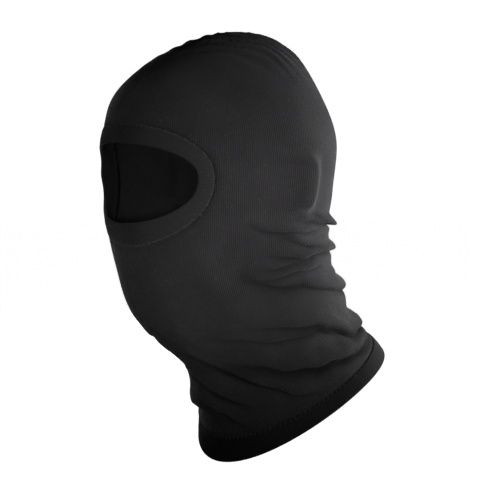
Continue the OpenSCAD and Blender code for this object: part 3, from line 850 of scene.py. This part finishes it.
def mix_node(nodes, links, factor, a, b):
    """Colour from a at factor 0 to b at factor 1, each a colour or another node's output."""
    mix = nodes.new("ShaderNodeMix")
    mix.data_type = "RGBA"
    links.new(factor, mix.inputs["Factor"])
    for key, value in (("A", a), ("B", b)):
        if isinstance(value, tuple):
            mix.inputs[key].default_value = (*value, 1)
        else:
            links.new(value, mix.inputs[key])
    return mix.outputs["Result"]


def bump_from(nodes, links, bsdf, height, distance):
    node = nodes.new("ShaderNodeBump")
    node.inputs["Distance"].default_value = distance
    links.new(height, node.inputs["Height"])
    links.new(node.outputs[0], bsdf.inputs["Normal"])


def painted_lit_share(nodes, links, shade):
    """The factor of painted shade: 1 where no shade is painted, and less by shade where the
    painted-shade attribute is high.
    """
    painted_shade = nodes.new("ShaderNodeAttribute")
    painted_shade.attribute_name = "painted_shade"
    return math_node(nodes, links, "MULTIPLY_ADD", painted_shade.outputs["Fac"], -shade, 1.0)


LINT = (0.12, 0.12, 0.125)
# the colour that painted shade darkens the knit towards
SHADE_COLOUR = (0.0006, 0.0006, 0.0006)


def knit_material(name, ridge, groove_shade_and_mottle, ribs, depth, shade=0.88):
    """Fine 1x1 rib knit. ribs says whether the bump draws the ribs or only the loops.

    shade is how strongly painted shade darkens the knit's colour where the painted-shade attribute says
    it is tucked away."""
    mat, nodes, links, bsdf = node_material(name)

    def calc(kind, *values):
        return math_node(nodes, links, kind, *values)

    uv = nodes.new("ShaderNodeUVMap")
    uv.uv_map = "knit"
    parts = nodes.new("ShaderNodeSeparateXYZ")
    links.new(uv.outputs[0], parts.inputs[0])
    u, v = parts.outputs[0], parts.outputs[1]
    coords = nodes.new("ShaderNodeTexCoord").outputs["Object"]
    wander = noise_node(nodes, links, coords, 60, 2)
    shift = calc("MULTIPLY_ADD", wander, 0.5, -0.25)
    u2 = calc("ADD", u, shift)
    wave = calc("COSINE", calc("MULTIPLY", u2, 2 * math.pi))
    rib = calc("MULTIPLY_ADD", wave, 0.5, 0.5)
    fold = calc("ABSOLUTE", calc("SUBTRACT", calc("FRACT", u2), 0.5))
    slant = calc("MULTIPLY_ADD", fold, 1.4, v)
    loop = calc("COSINE", calc("MULTIPLY", slant, 2 * math.pi))
    loop = calc("MULTIPLY_ADD", loop, 0.5, 0.5)
    fuzz = noise_node(nodes, links, coords, 2600, 3)
    height = calc("MULTIPLY_ADD", loop, 0.22, 0)
    height = calc("MULTIPLY_ADD", rib, 0.17 if ribs else 0.1, height)
    height = calc("MULTIPLY_ADD", fuzz, 0.25, height)
    bump_from(nodes, links, bsdf, height, depth)
    # colour: painted shade between the ribs, with a slow mottle and a few pale fibres
    mottle = noise_node(nodes, links, coords, 35, 5)
    rib_shade_and_mottle = calc("MULTIPLY_ADD", rib, 0.35, calc("MULTIPLY_ADD", mottle, 0.7, -0.70))
    rib_shade_and_mottle = calc("MULTIPLY_ADD", fuzz, 1.3, rib_shade_and_mottle)
    yarn = mix_node(nodes, links, rib_shade_and_mottle, groove_shade_and_mottle, ridge)
    stretch = nodes.new("ShaderNodeMapping")
    stretch.inputs["Scale"].default_value = (900, 2400, 500)
    stretch.inputs["Rotation"].default_value = (0.6, 0.3, 0.4)
    links.new(coords, stretch.inputs["Vector"])
    specks = nodes.new("ShaderNodeMapRange")
    specks.inputs["From Min"].default_value = 0.70
    specks.inputs["From Max"].default_value = 0.78
    links.new(noise_node(nodes, links, stretch.outputs[0], 1, 1), specks.inputs["Value"])
    lint = calc("MULTIPLY", specks.outputs[0], 0.5)
    yarn = mix_node(nodes, links, lint, yarn, LINT)
    # painted shade: the attribute darkens the base colour towards SHADE_COLOUR and weakens the sheen
    painted_lit = painted_lit_share(nodes, links, shade)
    links.new(mix_node(nodes, links, painted_lit, SHADE_COLOUR, yarn), bsdf.inputs["Base Color"])
    weight = calc("MULTIPLY", painted_lit, 0.12)
    links.new(weight, bsdf.inputs["Sheen Weight"])
    rough = calc("MULTIPLY_ADD", rib, -0.12, 0.92)
    links.new(rough, bsdf.inputs["Roughness"])
    bsdf.inputs["Specular IOR Level"].default_value = 0.15
    bsdf.inputs["Sheen Roughness"].default_value = 0.45
    bsdf.inputs["Sheen Tint"].default_value = (0.95, 0.93, 1.0, 1)
    return mat


def thread_material():
    mat, nodes, links, bsdf = node_material("thread")
    coords = nodes.new("ShaderNodeTexCoord").outputs["Object"]
    wave = nodes.new("ShaderNodeTexWave")
    wave.inputs["Scale"].default_value = 900
    wave.inputs["Distortion"].default_value = 1.5
    wave.bands_direction = "DIAGONAL"
    links.new(coords, wave.inputs["Vector"])
    # painted shade: the thread's twist is darkened where the mesh's painted-shade attribute says so, as
    # on the loopers
    twist_under_painted_shade = math_node(nodes, links, "MULTIPLY", wave.outputs[0], painted_lit_share(nodes, links, 1.0))
    colour = mix_node(nodes, links, twist_under_painted_shade, (0.003, 0.003, 0.003), (0.075, 0.075, 0.08))
    links.new(colour, bsdf.inputs["Base Color"])
    bump_from(nodes, links, bsdf, wave.outputs[0], 0.00006)
    bsdf.inputs["Roughness"].default_value = 0.6
    bsdf.inputs["Specular IOR Level"].default_value = 0.2
    return mat


def label_material():
    mat, nodes, links, bsdf = node_material("label")
    uv = nodes.new("ShaderNodeUVMap")
    uv.uv_map = "knit"
    weave = nodes.new("ShaderNodeTexWave")
    weave.inputs["Scale"].default_value = 1.6
    weave.inputs["Distortion"].default_value = 0.4
    links.new(uv.outputs[0], weave.inputs["Vector"])
    colour = mix_node(nodes, links, weave.outputs[0], (0.52, 0.52, 0.5), (0.68, 0.68, 0.66))
    links.new(colour, bsdf.inputs["Base Color"])
    bump_from(nodes, links, bsdf, weave.outputs[0], 0.00005)
    bsdf.inputs["Roughness"].default_value = 0.5
    return mat


# ---------------------------------------------------------------- the pieces
hood = build_hood()
face_band = build_band("face_band_ribbed", face_ring, FACE_BAND_W, 0.45)
# the neck band gets painted shade of at least 0.5 all over, which paints it darker
neck_band = build_band("neck_band_ribbed", neck_ring, NECK_BAND_W, 0.35, 0.5)

FACE_STITCHES = 96
HEM_STITCHES = 110
CROWN_STITCHES = 26
face_needle = tubes(
    "face_seam_stitches", over_seam(face_ring, FACE_STITCHES, FACE_BAND_W, 0.6), FACE_NEEDLE_R)
hem_needle = tubes(
    "hem_seam_stitches", over_seam(neck_ring, HEM_STITCHES, NECK_BAND_W, 0.9), HEM_NEEDLE_R)
face_looper = tubes("face_seam_overlock", under_seam(face_ring, FACE_STITCHES, FACE_BAND_W), THREAD_R)
hem_looper = tubes("hem_seam_overlock", under_seam(neck_ring, HEM_STITCHES, NECK_BAND_W), THREAD_R)
for looped in (face_looper, hem_looper):
    set_painted_shade(looped.data, np.full(len(looped.data.vertices), LOOPER_PAINTED_SHADE))

crown_low, crown_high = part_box("crown_needle_thread")
crown_y = np.linspace(crown_low[1], crown_high[1], CROWN_STITCHES + 1) / MM
needle_paths, looper_y = [], []
for y0, y1 in zip(crown_y, crown_y[1:]):
    path = crown_line(np.linspace(y0, y0 + 0.8 * (y1 - y0), 5), 1.75, 1.3)
    path[[0, -1], 0] -= 0.5
    needle_paths.append(path)
    looper_y += [y0 + f * (y1 - y0) for f in (0, 0.35, 0.5, 0.85)]
crown_needle = tubes("crown_seam_stitches", needle_paths, THREAD_R)
looper_side = np.tile([1.9, 0.9, -0.9, -1.9], CROWN_STITCHES)
looper_drop = np.tile([2.0, 4.6, 4.6, 2.0], CROWN_STITCHES)
looper = crown_line(np.array(looper_y), looper_side, looper_drop)
crown_looper = tubes("crown_seam_overlock", [looper], THREAD_R)


def join_stitches(ring, middle, last, height):
    """Stitches over the join of a band's two ends, one row after another across the band."""
    share = middle + np.array([-0.0025, -0.001, 0.001, 0.0025])
    d = np.array([0.55, height, height, 0.55])
    return [ring(share, np.full(4, t), d) for t in np.arange(1.6, last, 1.4)]


face_join = tubes("face_band_join", join_stitches(face_ring, 0.5, 10.2, 1.15), THREAD_R)
neck_join = tubes("neck_band_join", join_stitches(neck_ring, 0.0, 13.4, 1.05), THREAD_R)


LABEL_T = 0.28
LABEL_INSIDE = 5.15     # how far it hangs inside the neck's surface
LABEL_AT_RADIUS = 63    # of the neck at the back


def build_label():
    """A woven tape folded in half, hanging from the hem seam inside the back."""
    low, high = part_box("care_label")
    half = (high[0] - low[0]) / 2 / MM
    top, length, turn = NECK_BAND_W + ALLOWANCE_W - 1, 15.0, 0.45
    path = [(top - k * length / 8, turn) for k in range(9)]
    path += [(top - length - turn * math.cos(b), turn * math.sin(b))
             for b in np.radians([60, 30, 0, -30, -60])]
    path += [(top - k * length / 8, -turn) for k in range(8, -1, -1)]
    path = np.array(path)
    across = np.linspace(-1, 1, 25)
    t, x = np.meshgrid(path[:, 0], across, indexing="ij")
    d = np.repeat(path[:, 1:2], len(across), 1) - LABEL_INSIDE
    sway = 0.5 * smooth((top - t) / length) * (1 + 0.4 * np.cos(2.4 * x + 0.6))
    d = d - sway
    angle = np.degrees(np.arcsin(x * half / LABEL_AT_RADIUS))
    s = SEAM_RUN * t / NECK_BAND_W
    points = hood_mm(s, 180 + angle) + hood_normal(s, 180 + angle) * d[..., None]
    n, m = t.shape
    j, i = np.meshgrid(np.arange(n - 1), np.arange(m - 1), indexing="ij")
    faces = np.stack([j * m + i, j * m + i + 1, (j + 1) * m + i + 1, (j + 1) * m + i],
                     -1).reshape(-1, 4)
    uv = np.stack(np.meshgrid(lengths_along(path), across * half, indexing="ij"), -1)
    label = new_object("care_label_tape", new_mesh("care_label_tape", points * MM, faces, uv))
    thicken(label, LABEL_T)
    return label


label = build_label()
label_stitches = tubes("label_stitches", [
    neck_ring((k + np.array([0.0, 0.2, 0.4, 0.6])) * 0.0062, np.full(4, 18.6),
              np.array([-5.7, -6.0, -6.0, -5.7])) for k in range(-4, 4)], LABEL_THREAD_R)

rib_knit = knit_material("rib_knit", (0.027, 0.0258, 0.0276), (0.004, 0.004, 0.0042), True, 0.0009)
band_knit = knit_material("band_knit", (0.020, 0.0192, 0.0205), (0.007, 0.007, 0.0074), False,
                          0.0005, 0.9)
thread = thread_material()
label_cloth = label_material()

PIECES = [
    (hood, rib_knit, "rib_knit", "hood_shell"),
    (face_band, band_knit, "band_knit", "face_band"),
    (neck_band, band_knit, "band_knit", "neck_band"),
    (crown_needle, thread, "sewing_thread", "crown_needle_thread"),
    (crown_looper, thread, "sewing_thread", "crown_looper_thread"),
    (face_needle, thread, "sewing_thread", "face_needle_thread"),
    (face_looper, thread, "sewing_thread", "face_looper_thread"),
    (hem_needle, thread, "sewing_thread", "hem_needle_thread"),
    (hem_looper, thread, "sewing_thread", "hem_looper_thread"),
    (face_join, thread, "sewing_thread", "face_band_join_thread"),
    (neck_join, thread, "sewing_thread", "neck_band_join_thread"),
    (label, label_cloth, "label_tape", "care_label"),
    (label_stitches, thread, "sewing_thread", "label_thread"),
]
for piece, material, slot, node in PIECES:
    piece.data.materials.append(material)
    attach(piece, "root")
    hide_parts(node)

# ---------------------------------------------------------------- studio
# The camera looks along -BACK, with RIGHT and UP across its view.
AZIMUTH, ELEVATION = math.radians(50), math.radians(4)
CAMERA_AWAY = 1.6
LENS_MM = 166.7
RIGHT = Vector((math.cos(AZIMUTH), math.sin(AZIMUTH), 0))
BACK = Vector((math.sin(AZIMUTH) * math.cos(ELEVATION), -math.cos(AZIMUTH) * math.cos(ELEVATION),
               math.sin(ELEVATION)))
UP = BACK.cross(RIGHT)

camera = bpy.data.objects.new("camera", bpy.data.cameras.new("camera"))
camera.data.sensor_width = 36
camera.data.lens = LENS_MM
middle = RIGHT * 0.0144 - UP * 0.0396
camera.matrix_world = Matrix((
    (RIGHT.x, UP.x, BACK.x, 0), (RIGHT.y, UP.y, BACK.y, 0), (RIGHT.z, UP.z, BACK.z, 0),
    (0, 0, 0, 1)))
camera.location = middle + BACK * CAMERA_AWAY
bpy.context.scene.collection.objects.link(camera)
bpy.context.scene.camera = camera


def soft_light(name, place_at, size, power, spread, target):
    light = bpy.data.lights.new(name, "AREA")
    light.shape = "RECTANGLE"
    light.size, light.size_y = size
    light.energy = power
    light.spread = math.radians(spread)
    obj = bpy.data.objects.new(name, light)
    obj.location = place_at
    direction = Vector(target) - Vector(place_at)
    obj.rotation_euler = direction.to_track_quat("-Z", "Y").to_euler()
    bpy.context.scene.collection.objects.link(obj)


# A narrow spread makes a light far stronger in its middle, so these three need little power.
soft_light("rim_light", RIGHT * 0.72 - BACK * 0.50 + UP * 0.01, size=(0.35, 0.12),
           power=0.43, spread=38, target=(0.03, 0.05, -0.015))
soft_light("key_light", RIGHT * 0.55 + BACK * 0.5, size=(0.35, 0.12),
           power=0.30, spread=30, target=(0.05, 0.0, -0.005))
soft_light("fill_light", BACK * 1.0 - RIGHT * 0.1 - UP * 0.06, size=(0.35, 0.10),
           power=0.092, spread=19, target=(-0.005, -0.065, -0.045))
# It lights the side that the camera doesn't see.
soft_light("back_light", -BACK * 0.95 - RIGHT * 0.45 + UP * 0.1, size=(0.4, 0.4),
           power=3.0, spread=180, target=(0, 0, -0.03))

# The room's light is dim, and dimmest from above, from below and from the camera's left.
SKY_FALL = 2            # power of the fall towards straight up and straight down
SKY_LOW, SKY_HIGH = 0.03, 0.38
world = bpy.data.worlds.new("studio")
world.use_nodes = True
nodes, links = world.node_tree.nodes, world.node_tree.links
sky = nodes.new("ShaderNodeTexCoord")
facing = nodes.new("ShaderNodeVectorMath")
facing.operation = "DOT_PRODUCT"
facing.inputs[1].default_value = (RIGHT * 0.85 - UP * 0.05 + BACK * 0.45).normalized()
links.new(sky.outputs["Generated"], facing.inputs[0])
dim = nodes.new("ShaderNodeMapRange")
dim.inputs["From Min"].default_value = -0.5
dim.inputs["From Max"].default_value = 1.0
dim.inputs["To Min"].default_value = SKY_LOW
dim.inputs["To Max"].default_value = SKY_HIGH
links.new(facing.outputs["Value"], dim.inputs["Value"])
axes = nodes.new("ShaderNodeSeparateXYZ")
links.new(sky.outputs["Generated"], axes.inputs[0])
level = math_node(nodes, links, "POWER", math_node(
    nodes, links, "SUBTRACT", 1.0, math_node(nodes, links, "ABSOLUTE", axes.outputs[2])), SKY_FALL)
links.new(math_node(nodes, links, "MULTIPLY", dim.outputs[0], level), nodes["Background"].inputs[1])
nodes["Background"].inputs[0].default_value = (1, 1, 1, 1)
bpy.context.scene.world = world
bpy.context.scene.view_settings.view_transform = "Standard"


def backdrop(name, mesh, glow):
    """A white surface that is seen but throws no light on the object."""
    obj = new_object(name, mesh)
    paint, _, _, bsdf = node_material(name)
    bsdf.inputs["Base Color"].default_value = (0.85, 0.85, 0.85, 1)
    bsdf.inputs["Roughness"].default_value = 0.8
    bsdf.inputs["Emission Color"].default_value = (1, 1, 1, 1)
    bsdf.inputs["Emission Strength"].default_value = glow
    obj.data.materials.append(paint)
    obj.visible_diffuse = False
    obj.visible_glossy = False
    obj.visible_shadow = False


floor_z = cad_box[0][2]
floor_half = 3
floor_points = floor_half * np.array([(-1, -1, 0), (1, -1, 0), (1, 1, 0), (-1, 1, 0)], float)
floor_points[:, 2] = floor_z
backdrop("floor", new_mesh("floor", floor_points, [[0, 1, 2, 3]]), 0.97)
dome_rows, dome_columns = 9, 32
lat, lon = np.meshgrid(np.linspace(-0.5, 1.5, dome_rows), np.arange(dome_columns) * 2 * np.pi
                       / dome_columns, indexing="ij")
dome_r = 2.9
dome_points = np.stack([np.cos(lat) * np.cos(lon), np.cos(lat) * np.sin(lon), np.sin(lat)], -1) * dome_r
backdrop("backdrop", new_mesh("backdrop", dome_points, ring_faces(dome_rows, dome_columns)), 1.0)
